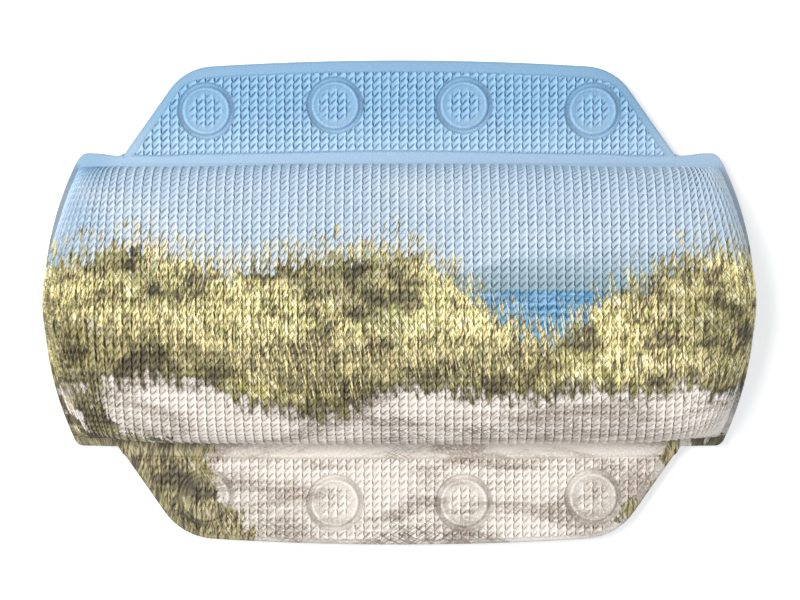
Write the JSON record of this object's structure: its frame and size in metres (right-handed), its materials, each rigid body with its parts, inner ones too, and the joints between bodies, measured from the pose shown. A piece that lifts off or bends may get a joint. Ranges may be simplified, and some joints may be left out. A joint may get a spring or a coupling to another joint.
{
  "type": "bath pillow",
  "caption": "Foam-filled bath neck pillow with a printed, embossed front sheet, two foldable flaps and trapped suction cups behind them",
  "frame": {"origin": "on the plane of the suction cups' lips, below the middle of the cushion", "axes": "+X along the pillow, +Y towards the upper flap, +Z out of the printed front"},
  "size_m": [0.32, 0.22, 0.0578],
  "materials": {
    "printed_sheet": "matte",
    "back_sheet": "matte",
    "foam": "matte",
    "soft_vinyl": "satin"
  },
  "bodies": {
    "cushion": {"cushion_front_cover": "printed_sheet", "cushion_back_cover": "back_sheet", "foam_core": "foam"},
    "upper_flap": {"upper_flap_front_sheet": "printed_sheet", "upper_flap_back_sheet": "back_sheet"},
    "lower_flap": {"lower_flap_front_sheet": "printed_sheet", "lower_flap_back_sheet": "back_sheet"},
    "upper_cup_1": {"upper_suction_cup_1": "soft_vinyl"},
    "upper_cup_2": {"upper_suction_cup_2": "soft_vinyl"},
    "upper_cup_3": {"upper_suction_cup_3": "soft_vinyl"},
    "upper_cup_4": {"upper_suction_cup_4": "soft_vinyl"},
    "lower_cup_1": {"lower_suction_cup_1": "soft_vinyl"},
    "lower_cup_2": {"lower_suction_cup_2": "soft_vinyl"},
    "lower_cup_3": {"lower_suction_cup_3": "soft_vinyl"},
    "lower_cup_4": {"lower_suction_cup_4": "soft_vinyl"}
  },
  "joints": [
    {"name": "upper_flap_fold", "type": "hinge", "parent": "cushion", "child": "upper_flap", "pos_m": [0, 0.0652, 0.01115], "axis": [1, 0, 0], "range_deg": [-90, 75], "stiffness_Nm_per_rad": 1.2},
    {"name": "lower_flap_fold", "type": "hinge", "parent": "cushion", "child": "lower_flap", "pos_m": [0, -0.0652, 0.01115], "axis": [-1, 0, 0], "range_deg": [-90, 75], "stiffness_Nm_per_rad": 1.2},
    {"name": "upper_cup_1_spin", "type": "hinge", "parent": "upper_flap", "child": "upper_cup_1", "pos_m": [-0.08782, 0.08773, 0.0105], "axis": [0, 0, 1], "continuous": true},
    {"name": "upper_cup_2_spin", "type": "hinge", "parent": "upper_flap", "child": "upper_cup_2", "pos_m": [-0.02927, 0.09028, 0.0105], "axis": [0, 0, 1], "continuous": true},
    {"name": "upper_cup_3_spin", "type": "hinge", "parent": "upper_flap", "child": "upper_cup_3", "pos_m": [0.02927, 0.09028, 0.0105], "axis": [0, 0, 1], "continuous": true},
    {"name": "upper_cup_4_spin", "type": "hinge", "parent": "upper_flap", "child": "upper_cup_4", "pos_m": [0.08782, 0.08773, 0.0105], "axis": [0, 0, 1], "continuous": true},
    {"name": "lower_cup_1_spin", "type": "hinge", "parent": "lower_flap", "child": "lower_cup_1", "pos_m": [0.08782, -0.08773, 0.0105], "axis": [0, 0, 1], "continuous": true},
    {"name": "lower_cup_2_spin", "type": "hinge", "parent": "lower_flap", "child": "lower_cup_2", "pos_m": [0.02927, -0.09028, 0.0105], "axis": [0, 0, 1], "continuous": true},
    {"name": "lower_cup_3_spin", "type": "hinge", "parent": "lower_flap", "child": "lower_cup_3", "pos_m": [-0.02927, -0.09028, 0.0105], "axis": [0, 0, 1], "continuous": true},
    {"name": "lower_cup_4_spin", "type": "hinge", "parent": "lower_flap", "child": "lower_cup_4", "pos_m": [-0.08782, -0.08773, 0.0105], "axis": [0, 0, 1], "continuous": true}
  ]
}
